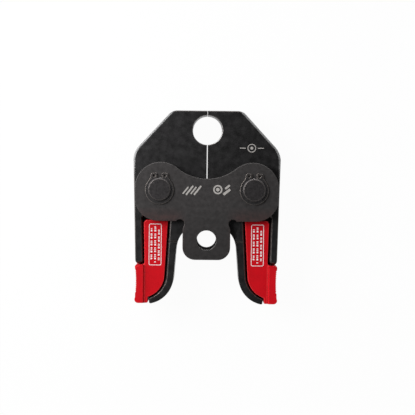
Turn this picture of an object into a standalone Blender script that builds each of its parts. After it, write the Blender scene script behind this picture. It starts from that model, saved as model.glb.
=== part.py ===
"""Press fitting tool jaw: two jaw arms that turn on pivot pins between a front and a rear side plate.

Run it with: blender --background --python part.py

Lengths are in metres. X runs across the jaw, Y from the tool end to the jaw tips, and Z out of the front
plate, so the jaw lies on its back on the rear ends of its pins. Shapes are drawn in the jaw's own
coordinates: X from the centre line, Y from the line through the two pins, Z from the rear ends of the
pins. Each arm is drawn on the right side and mirrored for the left one.
"""

import math

import bmesh
import bpy
from mathutils import Matrix, Vector
from mathutils.geometry import intersect_line_sphere_2d

# The stack through the thickness
PIN_LENGTH = 0.038
ARM_THICKNESS = 0.022
PLATE_THICKNESS = 0.005
SIDE_CLEARANCE = 0.0003

# Pivot pins, with a groove near each end
PIN_SPACING = 0.0572
PIN_DIAMETER = 0.014
PIN_CHAMFER = 0.0007
PIN_CLEARANCE = 0.00015
GROOVE_DEPTH = 0.0003

# Retaining rings: each lies off centre in its groove and is open between its lugs
RING_THICKNESS = 0.001
RING_CLEARANCE = 0.00015
RING_WIDTH = 0.00185
RING_OFFSET = 0.0003
RING_BORE_CLEARANCE = 0.00005
RING_MOUTH = 0.0028
LUG_HEIGHT = 0.00325
LUG_SHOULDER_HEIGHT = 0.00045
LUG_HALF_SPAN = 0.0053
LUG_ROOT_ANGLE = 34.0
LUG_RADIUS = 0.0014
LUG_MOUTH_RADIUS = 0.0006
LUG_HOLE_DIAMETER = 0.0017
LUG_HOLE_X = 0.0032
LUG_HOLE_HEIGHT = 0.00155

# Jaw head: the closed tips, the die bore and the slit below it
JAW_TOP = 0.0485
TOP_HALF_WIDTH = 0.0215
TOP_CORNER_RADIUS = 0.0065
SHOULDER_Y = 0.0227
SHOULDER_OVERHANG = 0.01675
SHOULDER_RADIUS = 0.0133
DIE_BORE_DIAMETER = 0.018
DIE_BORE_SETBACK = 0.01225
DIE_CHAMFER = 0.0004
TIP_GAP = 0.0002
SLIT_WIDTH = 0.0005

# Draft of the outer sides, which is deeper at the head than at the end of the rib
HEAD_DRAFT = 0.0006
RIB_DRAFT = 0.0003
FACE_CHAMFER = 0.0004

# Inner flank of an arm: it falls back below the pivots, which lets the arm open up to the centre line
FLANK_RELIEF_Y = -0.0035
FLANK_RELIEF_ANGLE = 17.5

# Roller pocket, cam flank and foot of an arm
POCKET_RADIUS = 0.0185
POCKET_Y = -0.0379
CAM_TAPER = 4.4
FOOT_RADIUS = 0.017
FOOT_BOTTOM = -0.0698
FOOT_SETBACK = 0.00245
FOOT_TIP_FLAT = 0.002
FOOT_TIP_RADIUS = 0.0014

# Ribs of an arm: the outer one, and the inner one with the line where the ground face ends
SIDE_TAPER = 0.00195
RIB_END_Y = -0.0455
RIB_END_RADIUS = 0.0026
OUTER_RIB_WIDTH = 0.00565
INNER_RIB_WIDTH = 0.00555
GRIND_LINE_Y = -0.0316
GRIND_LINE_WIDTH = 0.0008
GRIND_LINE_ROOT = 0.00004
GRIND_LINE_DEPTH = 0.0004

# Web between the ribs, which carries the grip
WEB_THICKNESS = 0.008
WEB_LEDGE = 0.0016
WEB_SETBACK = 0.0045
WEB_CORNER_RADIUS = 0.003

# Recess in each face of an arm, between its ribs, whose edges are chamfered
RECESS_CORNER_RADIUS = 0.002
RECESS_DRAFT = 0.00085
RECESS_CHAMFER = 0.0008
RECESS_RIB_RADIUS = 0.002
RECESS_RIB_OVERRUN = 0.0003
RECESS_FOOT_LAND = 0.0001
RECESS_FOOT_SHARE = 0.5

# Moulded grip: the pads that fill both recesses
GRIP_CLEARANCE = 0.0003
PAD_SINK = 0.0004
PAD_TOP = -0.0186
PAD_TOP_GAP = 0.0021
PAD_TAPER = 3.3
PAD_OUTER_TAPER = 0.0007
PAD_INNER_CORNER_RADIUS = 0.0008
PAD_OUTER_CORNER_RADIUS = 0.0023
PAD_FOOT_RADIUS = 0.0142
PAD_FOOT_RISE = 0.0007

# Moulded grip: the raised strip with its finger teeth, which wraps the outer edge of the web
STRIP_GAP = 0.0004
STRIP_SETBACK = 0.0006
STRIP_OUTSET = 0.0003
STRIP_TAPER = 0.0003
STRIP_WAIST = 0.0008
STRIP_RISE = 0.0016
STRIP_DRAFT = 0.0009
STRIP_CORNER_RADIUS = 0.0012
STRIP_END_RADIUS = 0.0022
STRIP_FOOT_RADIUS = 0.0008
STRIP_FILLET_RADIUS = 0.0016
TOOTH_PITCH = 0.00116
TOOTH_DEPTH = 0.0003
TOOTH_COUNT = 12
TOOTH_MARGIN = 0.0028
TEETH_RUN_IN = 0.004

# Side plates
LOBE_RADIUS = 0.0157
LOBE_INSET = 0.0008
LOBE_Y = 0.0009
VALLEY_Y = 0.0067
LOBE_BOTTOM = -0.019
LOBE_LOW_RADIUS = 0.0142
TOOL_HOLE_DIAMETER = 0.0119
TOOL_HOLE_Y = -0.03045
TONGUE_HALF_WIDTH = 0.0144
TONGUE_END = 0.0119
TONGUE_CORNER_RADIUS = 0.0075
NOTCH_RADIUS = 0.00265
NOTCH_OUTSET = 0.0016
NOTCH_DROP = 0.0015
NECK_RADIUS = 0.006
PLATE_CHAMFER = 0.0003

# Closing spring, which pushes the arms apart below the pivots
SPRING_Y = -0.012
SPRING_DIAMETER = 0.0065
SPRING_WIRE = 0.001
SPRING_TURNS = 8
SPRING_END_PITCH = 0.0011
SPRING_SEAT_X = 0.012
SPRING_CLEARANCE = 0.0004
SPRING_POINTS_PER_TURN = 10

# How finely round shapes are cut into flats, and how far a cutter reaches past what it cuts
ARC_TOLERANCE = 0.000025
CUT_MARGIN = 0.004
WELD_DISTANCE = 0.000001

# Levels that follow from the sizes above
MIDDLE = PIN_LENGTH / 2
ARM_BACK = MIDDLE - ARM_THICKNESS / 2
ARM_FRONT = MIDDLE + ARM_THICKNESS / 2
REAR_PLATE_FRONT = ARM_BACK - SIDE_CLEARANCE
REAR_PLATE_BACK = REAR_PLATE_FRONT - PLATE_THICKNESS
FRONT_PLATE_BACK = ARM_FRONT + SIDE_CLEARANCE
FRONT_PLATE_FRONT = FRONT_PLATE_BACK + PLATE_THICKNESS
WEB_BACK = MIDDLE - WEB_THICKNESS / 2
WEB_FRONT = MIDDLE + WEB_THICKNESS / 2
PAD_BACK = ARM_BACK + PAD_SINK
PAD_FRONT = ARM_FRONT - PAD_SINK

# Places across and along the jaw that follow from the sizes above
PIVOT_X = PIN_SPACING / 2
SHOULDER_HALF_WIDTH = PIVOT_X + SHOULDER_OVERHANG
RIB_END_HALF_WIDTH = SHOULDER_HALF_WIDTH - SIDE_TAPER
PAD_OUTER_LOW_X = RIB_END_HALF_WIDTH - OUTER_RIB_WIDTH - GRIP_CLEARANCE
PAD_OUTER_TOP_X = PAD_OUTER_LOW_X + PAD_OUTER_TAPER
WEB_EDGE_X = PAD_OUTER_LOW_X + WEB_LEDGE
FOOT_END_X = PAD_OUTER_LOW_X - FOOT_SETBACK
GRIP_FOOT_X = FOOT_END_X + GRIP_CLEARANCE
STRIP_LOW_X = RIB_END_HALF_WIDTH + STRIP_OUTSET
STRIP_TOP_X = STRIP_LOW_X - STRIP_TAPER
PLATE_HALF_WIDTH = PIVOT_X - LOBE_INSET + LOBE_RADIUS
DIE_BORE_Y = JAW_TOP - DIE_BORE_SETBACK
RECESS_TOP = PAD_TOP + PAD_TOP_GAP
WEB_BOTTOM = FOOT_BOTTOM + WEB_SETBACK
STRIP_TOP = RIB_END_Y - STRIP_GAP
GRIP_BOTTOM = FOOT_BOTTOM + STRIP_SETBACK
TONGUE_BOTTOM = TOOL_HOLE_Y - TONGUE_END
GROOVE_RADIUS = PIN_DIAMETER / 2 - GROOVE_DEPTH
RING_BORE_RADIUS = GROOVE_RADIUS + RING_BORE_CLEARANCE
SIDES = (("left", -1), ("right", 1))


# Outlines, as lists of points that run anticlockwise

def arc_steps(radius, sweep):
    """Returns how many flats an arc needs to stay within the tolerance."""
    step = 2 * math.acos(1 - ARC_TOLERANCE / radius)
    return max(1, math.ceil(abs(sweep) / step - 0.01))


def arc(centre, radius, start, stop, steps=None):
    """Returns the points of an arc between two angles in degrees."""
    first = math.radians(start)
    sweep = math.radians(stop - start)
    count = steps or arc_steps(radius, sweep)
    angles = [first + sweep * step / count for step in range(count + 1)]
    x, y = centre
    return [(x + radius * math.cos(angle), y + radius * math.sin(angle)) for angle in angles]


def rounded(corners):
    """Returns the closed outline through corners.

    A corner is an x, a y and, where it is round, a radius and maybe its number of flats.
    """
    outline = []
    for index, corner in enumerate(corners):
        here = Vector(corner[:2])
        if len(corner) < 3:
            outline.append(tuple(here))
            continue
        radius = corner[2]
        before = (Vector(corners[index - 1][:2]) - here).normalized()
        after = (Vector(corners[(index + 1) % len(corners)][:2]) - here).normalized()
        half_angle = before.angle(after) / 2
        centre = here + (before + after).normalized() * radius / math.sin(half_angle)
        spoke = here + before * radius / math.tan(half_angle) - centre
        turn = math.pi - 2 * half_angle
        direction = -1 if before.cross(after) > 0 else 1
        steps = corner[3] if len(corner) > 3 else arc_steps(radius, turn)
        for step in range(steps + 1):
            outline.append(tuple(centre + Matrix.Rotation(direction * turn * step / steps, 2) @ spoke))
    return outline


def mirrored_half(corners):
    """Returns the corners of a symmetric outline from those of its right half, in order."""
    left = [(-corner[0], *corner[1:]) for corner in reversed(corners) if corner[0] > WELD_DISTANCE]
    return corners + left


def shifted_line(start, end, distance):
    """Returns two points of a line that moved to its own left by a distance."""
    along = (Vector(end) - Vector(start)).normalized()
    offset = Vector((-along.y, along.x)) * distance
    return Vector(start) + offset, Vector(end) + offset


def crossing(first, second):
    """Returns where two lines meet, each given by two points."""
    along = first[1] - first[0]
    other = second[1] - second[0]
    share = (second[0] - first[0]).cross(other) / along.cross(other)
    return tuple(first[0] + along * share)


def on_side(outline, side):
    """Returns an outline of the right side, or its mirror image that still runs anticlockwise."""
    if side > 0:
        return outline
    return [(-x, y) for x, y in reversed(outline)]


def pocket_roof():
    """Returns the point where an arm's relieved inner flank meets its roller pocket."""
    lean = math.radians(FLANK_RELIEF_ANGLE)
    start = Vector((SLIT_WIDTH / 2, FLANK_RELIEF_Y))
    end = start + Vector((math.sin(lean), -math.cos(lean))) * POCKET_RADIUS
    return max(intersect_line_sphere_2d(start, end, (0, POCKET_Y), POCKET_RADIUS, False), key=lambda p: p.y)


def foot_centre():
    """Returns the centre of the foot's arc, which is tangent to the cam flank and to the foot's bottom."""
    taper = math.radians(CAM_TAPER)
    outwards = Vector((math.cos(taper), math.sin(taper)))
    down = Vector((math.sin(taper), -math.cos(taper)))
    level = Vector((0, POCKET_Y)) + outwards * (POCKET_RADIUS + FOOT_RADIUS)
    return level + down * (level.y - FOOT_BOTTOM - FOOT_RADIUS) / math.cos(taper)


def arm_outline(head_inset, rib_inset):
    """Returns an arm's outline, with its outer sides moved in at the head and at the end of the rib.

    The flats of its outer corners are set by whole shares of a turn, so each level has equally many points.
    """
    rib_end_x = RIB_END_HALF_WIDTH - rib_inset
    side = Vector((rib_end_x, RIB_END_Y)), Vector((SHOULDER_HALF_WIDTH - head_inset, SHOULDER_Y))
    slope = shifted_line((SHOULDER_HALF_WIDTH, SHOULDER_Y), (TOP_HALF_WIDTH, JAW_TOP), head_inset)
    top = shifted_line((TOP_HALF_WIDTH, JAW_TOP), (0, JAW_TOP), head_inset)
    tip_face = Vector((TIP_GAP / 2, 0)), Vector((TIP_GAP / 2, JAW_TOP))
    roof = pocket_roof()
    roof_angle = math.degrees(math.atan2(roof.y - POCKET_Y, roof.x))
    foot = foot_centre()
    foot_end_angle = 360 - math.degrees(math.acos((FOOT_END_X - FOOT_TIP_FLAT - foot.x) / FOOT_RADIUS))
    eighth = math.pi / 4
    return rounded([
        crossing(top, tip_face),
        (TIP_GAP / 2, DIE_BORE_Y),
        (SLIT_WIDTH / 2, DIE_BORE_Y),
        (SLIT_WIDTH / 2, FLANK_RELIEF_Y),
        *arc((0, POCKET_Y), POCKET_RADIUS, roof_angle, CAM_TAPER),
        *arc(foot, FOOT_RADIUS, 180 + CAM_TAPER, foot_end_angle),
        (FOOT_END_X, FOOT_BOTTOM, FOOT_TIP_RADIUS),
        (FOOT_END_X, WEB_BOTTOM),
        (WEB_EDGE_X, WEB_BOTTOM, WEB_CORNER_RADIUS),
        (WEB_EDGE_X, RIB_END_Y),
        (rib_end_x, RIB_END_Y, RIB_END_RADIUS, arc_steps(RIB_END_RADIUS, 2 * eighth)),
        (*crossing(side, slope), SHOULDER_RADIUS, arc_steps(SHOULDER_RADIUS, eighth)),
        (*crossing(slope, top), TOP_CORNER_RADIUS, arc_steps(TOP_CORNER_RADIUS, eighth)),
    ])


def pad_inner_side(gap, rise, top, end_x):
    """Returns the pad's inner side: its top corner, then its arc down to an x.

    A gap moves the side out, and a rise lifts its arc, which makes the gap narrower at the foot.
    """
    taper = math.radians(PAD_TAPER)
    radius = PAD_FOOT_RADIUS + gap
    inwards = INNER_RIB_WIDTH + PAD_FOOT_RADIUS - FOOT_RADIUS
    centre = foot_centre() + Vector((inwards, PAD_FOOT_RISE + rise))
    tangent = centre - radius * Vector((math.cos(taper), math.sin(taper)))
    corner = tangent + Vector((-math.tan(taper), 1)) * (top - tangent.y)
    end_angle = 360 - math.degrees(math.acos((end_x - centre.x) / radius))
    steps = arc_steps(PAD_FOOT_RADIUS, math.radians(90 - PAD_TAPER))
    return corner, arc(centre, radius, 180 + PAD_TAPER, end_angle, steps)


def recess_outline(growth):
    """Returns the outline of a recess, which grows from the web out to the face of the arm."""
    gap = GRIP_CLEARANCE + growth
    top = RECESS_TOP + growth
    foot_growth = RECESS_FOOT_SHARE * growth
    foot_x = FOOT_END_X - RECESS_FOOT_LAND - foot_growth
    rib_end = RIB_END_Y - RECESS_RIB_OVERRUN + growth
    corner, foot_arc = pad_inner_side(gap, growth - foot_growth, top, foot_x)
    return rounded([
        (*corner, RECESS_CORNER_RADIUS),
        *foot_arc,
        (foot_x, GRIP_BOTTOM - CUT_MARGIN),
        (RIB_END_HALF_WIDTH + CUT_MARGIN, GRIP_BOTTOM - CUT_MARGIN),
        (RIB_END_HALF_WIDTH + CUT_MARGIN, rib_end),
        (PAD_OUTER_LOW_X + gap, rib_end, RECESS_RIB_RADIUS),
        (PAD_OUTER_TOP_X + gap, top, RECESS_CORNER_RADIUS),
    ])


def strip_edge_x(y):
    """Returns where the strip's hollow outer edge lies at a height."""
    share = (y - GRIP_BOTTOM) / (STRIP_TOP - GRIP_BOTTOM)
    return STRIP_LOW_X - STRIP_TAPER * share - STRIP_WAIST * 4 * share * (1 - share)


def grip_outline():
    """Returns the outline of a grip, with the finger teeth along its outer edge."""
    corner, foot_arc = pad_inner_side(0.0, 0.0, PAD_TOP, GRIP_FOOT_X)
    edge = []
    for step in range(1, 4):
        y = GRIP_BOTTOM + STRIP_END_RADIUS + TEETH_RUN_IN * step / 3
        edge.append((strip_edge_x(y), y))
    for tooth in reversed(range(TOOTH_COUNT)):
        crest = STRIP_TOP - TOOTH_MARGIN - TOOTH_PITCH * tooth
        root = crest - TOOTH_PITCH / 2
        edge.append((strip_edge_x(root) - TOOTH_DEPTH, root))
        edge.append((strip_edge_x(crest), crest))
    return rounded([
        (*corner, PAD_INNER_CORNER_RADIUS),
        *foot_arc,
        (GRIP_FOOT_X, GRIP_BOTTOM, STRIP_FOOT_RADIUS),
        (STRIP_LOW_X, GRIP_BOTTOM, STRIP_END_RADIUS),
        *edge,
        (STRIP_TOP_X, STRIP_TOP, STRIP_CORNER_RADIUS),
        (PAD_OUTER_LOW_X, STRIP_TOP, STRIP_FILLET_RADIUS),
        (PAD_OUTER_TOP_X, PAD_TOP, PAD_OUTER_CORNER_RADIUS),
    ])


def pad_cut_outline(strip_inner_x):
    """Returns the outline that is cut down to the pad, beside and above the raised strip."""
    low = GRIP_BOTTOM - CUT_MARGIN
    outside = STRIP_LOW_X + CUT_MARGIN
    return [
        (0, low),
        (strip_inner_x, low),
        (strip_inner_x, STRIP_TOP),
        (outside, STRIP_TOP + STRIP_CORNER_RADIUS),
        (outside, PAD_TOP + CUT_MARGIN),
        (0, PAD_TOP + CUT_MARGIN),
    ]


def web_slot_outline():
    """Returns the outline of the slot in a grip that takes the web and the foot next to it."""
    edge_x = WEB_EDGE_X + GRIP_CLEARANCE
    bottom = WEB_BOTTOM - GRIP_CLEARANCE
    return rounded([
        (0, GRIP_BOTTOM - CUT_MARGIN),
        (GRIP_FOOT_X, GRIP_BOTTOM - CUT_MARGIN),
        (GRIP_FOOT_X, bottom),
        (edge_x, bottom, WEB_CORNER_RADIUS),
        (edge_x, PAD_TOP + CUT_MARGIN),
        (0, PAD_TOP + CUT_MARGIN),
    ])


def plate_outline():
    """Returns a side plate's outline: two lobes round the pins, a valley between them and a tongue."""
    notch = Vector((TONGUE_HALF_WIDTH + NOTCH_OUTSET, LOBE_BOTTOM - NOTCH_DROP))
    neck_x = TONGUE_HALF_WIDTH - NECK_RADIUS
    neck_angle = math.acos((notch.x - neck_x) / (NOTCH_RADIUS + NECK_RADIUS))
    neck = (neck_x, notch.y - (NOTCH_RADIUS + NECK_RADIUS) * math.sin(neck_angle))
    lobe_x = PIVOT_X - LOBE_INSET
    rise = VALLEY_Y - LOBE_Y
    valley_radius = (lobe_x ** 2 + rise ** 2 - LOBE_RADIUS ** 2) / (2 * (LOBE_RADIUS - rise))
    valley_angle = math.degrees(math.atan2(rise + valley_radius, -lobe_x))
    notch_angle = math.degrees(neck_angle)
    notch_end = math.degrees(math.asin(NOTCH_DROP / NOTCH_RADIUS))
    return rounded(mirrored_half([
        (TONGUE_HALF_WIDTH, TONGUE_BOTTOM, TONGUE_CORNER_RADIUS),
        *arc(neck, NECK_RADIUS, 0, notch_angle),
        *arc(notch, NOTCH_RADIUS, 180 + notch_angle, notch_end)[1:],
        (PLATE_HALF_WIDTH, LOBE_BOTTOM, LOBE_LOW_RADIUS),
        *arc((lobe_x, LOBE_Y), LOBE_RADIUS, 0, valley_angle),
        *arc((0, VALLEY_Y + valley_radius), valley_radius, valley_angle - 180, -90)[1:],
    ]))


def ring_outline():
    """Returns a retaining ring's outline, open at the top between its two lugs."""
    mouth_angle = math.degrees(math.acos(RING_MOUTH / 2 / RING_BORE_RADIUS))
    lug_top = RING_BORE_RADIUS + LUG_HEIGHT
    return rounded(mirrored_half([
        *arc((0, -RING_OFFSET), RING_BORE_RADIUS + RING_WIDTH, -90, LUG_ROOT_ANGLE),
        (LUG_HALF_SPAN, RING_BORE_RADIUS + LUG_SHOULDER_HEIGHT),
        (LUG_HALF_SPAN, lug_top, LUG_RADIUS),
        (RING_MOUTH / 2, lug_top, LUG_MOUTH_RADIUS),
        *arc((0, 0), RING_BORE_RADIUS, mouth_angle, -90),
    ]))


# Meshes, drawn in the jaw's coordinates

def loft_mesh(name, sections):
    """Makes a closed mesh through outlines of equally many points, each with its level, lowest first."""
    loft = bmesh.new()
    rings = [[loft.verts.new((x, y, level)) for x, y in outline] for level, outline in sections]
    for lower, upper in zip(rings, rings[1:]):
        for index in range(len(lower)):
            loft.faces.new((lower[index - 1], lower[index], upper[index], upper[index - 1]))
    loft.faces.new(reversed(rings[0]))
    loft.faces.new(rings[-1])
    mesh = bpy.data.meshes.new(name)
    loft.to_mesh(mesh)
    loft.free()
    return mesh


def flat_mesh(name, outlines, low, high, chamfer=0.0):
    """Makes a closed mesh from a flat outline and its holes, between two levels."""
    curve = bpy.data.curves.new(name, "CURVE")
    curve.dimensions = "2D"
    curve.fill_mode = "BOTH"
    curve.extrude = (high - low) / 2 - chamfer
    curve.bevel_depth = chamfer
    curve.bevel_resolution = 0
    curve.offset = -chamfer
    for outline in outlines:
        spline = curve.splines.new("POLY")
        spline.points.add(len(outline) - 1)
        for point, (x, y) in zip(spline.points, outline):
            point.co = (x, y, 0, 1)
        spline.use_cyclic_u = True
    drawing = bpy.data.objects.new(name, curve)
    bpy.context.scene.collection.objects.link(drawing)
    depsgraph = bpy.context.evaluated_depsgraph_get()
    mesh = bpy.data.meshes.new_from_object(drawing.evaluated_get(depsgraph))
    bpy.data.objects.remove(drawing)
    bpy.data.curves.remove(curve)
    mesh.name = name
    welded = bmesh.new()
    welded.from_mesh(mesh)
    bmesh.ops.remove_doubles(welded, verts=welded.verts, dist=WELD_DISTANCE)
    bmesh.ops.recalc_face_normals(welded, faces=welded.faces)
    welded.to_mesh(mesh)
    welded.free()
    mesh.transform(Matrix.Translation((0, 0, (low + high) / 2)))
    return mesh


def rod_mesh(name, start, end, diameter):
    """Makes a solid rod between two points."""
    span = Vector(end) - Vector(start)
    turn = Vector((0, 0, 1)).rotation_difference(span).to_matrix().to_4x4()
    rod = bmesh.new()
    bmesh.ops.create_cone(
        rod,
        cap_ends=True,
        segments=arc_steps(diameter / 2, 2 * math.pi),
        radius1=diameter / 2,
        radius2=diameter / 2,
        depth=span.length,
        matrix=Matrix.Translation((Vector(start) + Vector(end)) / 2) @ turn,
    )
    mesh = bpy.data.meshes.new(name)
    rod.to_mesh(mesh)
    rod.free()
    return mesh


def grind_line_mesh(name, side, face, outwards):
    """Makes the wedge that cuts the line across an inner rib, from a face of the arm inwards."""
    wedge = []
    for steps_out in (-1, 1):
        half_width = (GRIND_LINE_WIDTH + steps_out * (GRIND_LINE_WIDTH - GRIND_LINE_ROOT)) / 2
        low = GRIND_LINE_Y - half_width
        high = GRIND_LINE_Y + half_width
        strip = on_side([(0, low), (PIVOT_X, low), (PIVOT_X, high), (0, high)], side)
        wedge.append((face + outwards * steps_out * GRIND_LINE_DEPTH, strip))
    return loft_mesh(name, sorted(wedge))


# Objects

def new_collection(name):
    """Adds a collection to the scene."""
    collection = bpy.data.collections.new(name)
    bpy.context.scene.collection.children.link(collection)
    return collection


def new_material(name, colour, roughness, metallic):
    """Makes a Principled material."""
    made = bpy.data.materials.new(name)
    made.use_nodes = True
    shader = made.node_tree.nodes["Principled BSDF"]
    shader.inputs["Base Color"].default_value = (*colour, 1.0)
    shader.inputs["Roughness"].default_value = roughness
    shader.inputs["Metallic"].default_value = metallic
    return made


def add_empty(name, place, parent=None):
    """Adds an empty that carries pieces."""
    empty = bpy.data.objects.new(name, None)
    empty.location = place
    empty.parent = parent
    PIECES.objects.link(empty)
    return empty


def hang(mesh, carrier):
    """Makes an object of a mesh in the jaw's coordinates and hangs it on the jaw's or a pivot's empty."""
    if carrier.parent:
        mesh.transform(Matrix.Translation(-carrier.location))
    hung = bpy.data.objects.new(mesh.name, mesh)
    hung.parent = carrier
    return hung


def add_piece(mesh, carrier, finish):
    """Adds a piece of the jaw, with its round walls shaded smooth."""
    mesh.materials.append(finish)
    mesh.shade_smooth()
    mesh.set_sharp_from_angle(angle=math.radians(30))
    piece = hang(mesh, carrier)
    PIECES.objects.link(piece)
    return piece


def subtract(cutter, piece):
    """Subtracts a cutter, which isn't rendered, from a piece."""
    CUTTERS.objects.link(cutter)
    cutter.display_type = "WIRE"
    cutter.hide_render = True
    boolean = piece.modifiers.new(cutter.name, "BOOLEAN")
    boolean.operation = "DIFFERENCE"
    boolean.solver = "EXACT"
    boolean.object = cutter


def cut(piece, mesh):
    """Cuts a mesh, drawn in the jaw's coordinates, out of a piece."""
    subtract(hang(mesh, piece.parent), piece)


def turned(name, profile, x, y, carrier):
    """Makes a turned object on an axis along Z, from a profile of radius and level, highest first."""
    mesh = bpy.data.meshes.new(name)
    edges = [(index, index + 1) for index in range(len(profile) - 1)]
    mesh.from_pydata([(radius, 0, level) for radius, level in profile], edges, [])
    piece = bpy.data.objects.new(name, mesh)
    piece.location = (x, y, 0)
    piece.parent = carrier
    screw = piece.modifiers.new("turn", "SCREW")
    screw.steps = arc_steps(max(radius for radius, level in profile), 2 * math.pi)
    screw.render_steps = screw.steps
    screw.use_merge_vertices = True
    screw.merge_threshold = WELD_DISTANCE
    return piece


def cut_bore(piece, name, x, y, diameter, low, high, chamfer=0.0):
    """Cuts a bore along Z through a piece, with chamfered mouths at its two faces."""
    radius = diameter / 2
    flare = radius + chamfer + (CUT_MARGIN if chamfer else 0)
    profile = [
        (0, high + CUT_MARGIN),
        (flare, high + CUT_MARGIN),
        (radius, high - chamfer),
        (radius, low + chamfer),
        (flare, low - CUT_MARGIN),
        (0, low - CUT_MARGIN),
    ]
    carrier_x = piece.parent.location.x
    subtract(turned(name, profile, x - carrier_x, y, piece.parent), piece)


# Pieces of the jaw

def make_arm(side_name, side, pivot, finish):
    """Makes a jaw arm: a drafted forging with its die, pivot bore, recesses and spring seat."""
    face = arm_outline(HEAD_DRAFT + FACE_CHAMFER, RIB_DRAFT + FACE_CHAMFER)
    edge = arm_outline(HEAD_DRAFT, RIB_DRAFT)
    parting = arm_outline(0, 0)
    levels = (
        (ARM_BACK, face),
        (ARM_BACK + FACE_CHAMFER, edge),
        (MIDDLE, parting),
        (ARM_FRONT - FACE_CHAMFER, edge),
        (ARM_FRONT, face),
    )
    name = f"{side_name}_jaw_arm"
    blank = loft_mesh(name, [(level, on_side(line, side)) for level, line in levels])
    arm = add_piece(blank, pivot, finish)
    cut_bore(arm, f"{name}_die", 0, DIE_BORE_Y, DIE_BORE_DIAMETER, ARM_BACK, ARM_FRONT, DIE_CHAMFER)
    bore = PIN_DIAMETER + 2 * PIN_CLEARANCE
    cut_bore(arm, f"{name}_pivot_bore", side * PIVOT_X, 0, bore, ARM_BACK, ARM_FRONT)
    seat = rod_mesh(
        f"{name}_spring_seat",
        (0, SPRING_Y, MIDDLE),
        (side * SPRING_SEAT_X, SPRING_Y, MIDDLE),
        SPRING_DIAMETER + 2 * SPRING_CLEARANCE,
    )
    cut(arm, seat)
    web_recess = on_side(recess_outline(0.0), side)
    wall_recess = on_side(recess_outline(RECESS_DRAFT), side)
    face_recess = on_side(recess_outline(RECESS_DRAFT + RECESS_CHAMFER), side)
    front = [
        (WEB_FRONT, web_recess),
        (ARM_FRONT - RECESS_CHAMFER, wall_recess),
        (ARM_FRONT, face_recess),
        (ARM_FRONT + CUT_MARGIN, face_recess),
    ]
    rear = [
        (ARM_BACK - CUT_MARGIN, face_recess),
        (ARM_BACK, face_recess),
        (ARM_BACK + RECESS_CHAMFER, wall_recess),
        (WEB_BACK, web_recess),
    ]
    cut(arm, loft_mesh(f"{name}_front_recess", front))
    cut(arm, loft_mesh(f"{name}_rear_recess", rear))
    cut(arm, grind_line_mesh(f"{name}_front_line", side, ARM_FRONT, 1))
    cut(arm, grind_line_mesh(f"{name}_rear_line", side, ARM_BACK, -1))
    return arm


def make_grip(side_name, side, pivot, finish):
    """Makes a moulded grip: a pad in each recess, joined round the web by a raised, toothed strip."""
    name = f"{side_name}_grip"
    low = PAD_BACK - STRIP_RISE
    high = PAD_FRONT + STRIP_RISE
    grip = add_piece(flat_mesh(name, [on_side(grip_outline(), side)], low, high), pivot, finish)
    foot = on_side(pad_cut_outline(PAD_OUTER_LOW_X), side)
    brow = on_side(pad_cut_outline(PAD_OUTER_LOW_X + STRIP_DRAFT), side)
    front = [(PAD_FRONT, foot), (high, brow), (high + CUT_MARGIN, brow)]
    rear = [(low - CUT_MARGIN, brow), (low, brow), (PAD_BACK, foot)]
    cut(grip, loft_mesh(f"{name}_front_pad", front))
    cut(grip, loft_mesh(f"{name}_rear_pad", rear))
    slot = flat_mesh(
        f"{name}_web_slot",
        [on_side(web_slot_outline(), side)],
        WEB_BACK - GRIP_CLEARANCE,
        WEB_FRONT + GRIP_CLEARANCE,
    )
    cut(grip, slot)
    return grip


def make_plate(name, low, high, jaw, finish):
    """Makes a side plate, with its two pin holes and the hole in its tongue for the tool's pin."""
    plate = add_piece(flat_mesh(name, [plate_outline()], low, high, PLATE_CHAMFER), jaw, finish)
    for side_name, side in SIDES:
        hole = PIN_DIAMETER + 2 * PIN_CLEARANCE
        cut_bore(plate, f"{name}_{side_name}_pin_hole", side * PIVOT_X, 0, hole, low, high)
    cut_bore(plate, f"{name}_tool_hole", 0, TOOL_HOLE_Y, TOOL_HOLE_DIAMETER, low, high, PLATE_CHAMFER)
    return plate


def make_pin(side_name, side, jaw, finish):
    """Makes a pivot pin with chamfered ends and a groove near each end."""
    radius = PIN_DIAMETER / 2
    groove_width = RING_THICKNESS + 2 * RING_CLEARANCE
    profile = [
        (0, PIN_LENGTH),
        (radius - PIN_CHAMFER, PIN_LENGTH),
        (radius, PIN_LENGTH - PIN_CHAMFER),
        (radius, FRONT_PLATE_FRONT + groove_width),
        (GROOVE_RADIUS, FRONT_PLATE_FRONT + groove_width),
        (GROOVE_RADIUS, FRONT_PLATE_FRONT),
        (radius, FRONT_PLATE_FRONT),
        (radius, REAR_PLATE_BACK),
        (GROOVE_RADIUS, REAR_PLATE_BACK),
        (GROOVE_RADIUS, REAR_PLATE_BACK - groove_width),
        (radius, REAR_PLATE_BACK - groove_width),
        (radius, PIN_CHAMFER),
        (radius - PIN_CHAMFER, 0),
        (0, 0),
    ]
    pin = turned(f"{side_name}_pivot_pin", profile, side * PIVOT_X, 0, jaw)
    pin.data.materials.append(finish)
    PIECES.objects.link(pin)
    return pin


def make_ring(name, side, low, jaw, finish):
    """Makes a retaining ring with a plier hole in each lug."""
    centre = side * PIVOT_X
    hole_y = RING_BORE_RADIUS + LUG_HOLE_HEIGHT
    outlines = [ring_outline()]
    for hole_x in (-LUG_HOLE_X, LUG_HOLE_X):
        outlines.append(arc((hole_x, hole_y), LUG_HOLE_DIAMETER / 2, 0, 360)[:-1])
    placed = [[(x + centre, y) for x, y in outline] for outline in outlines]
    return add_piece(flat_mesh(name, placed, low, low + RING_THICKNESS), jaw, finish)


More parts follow.
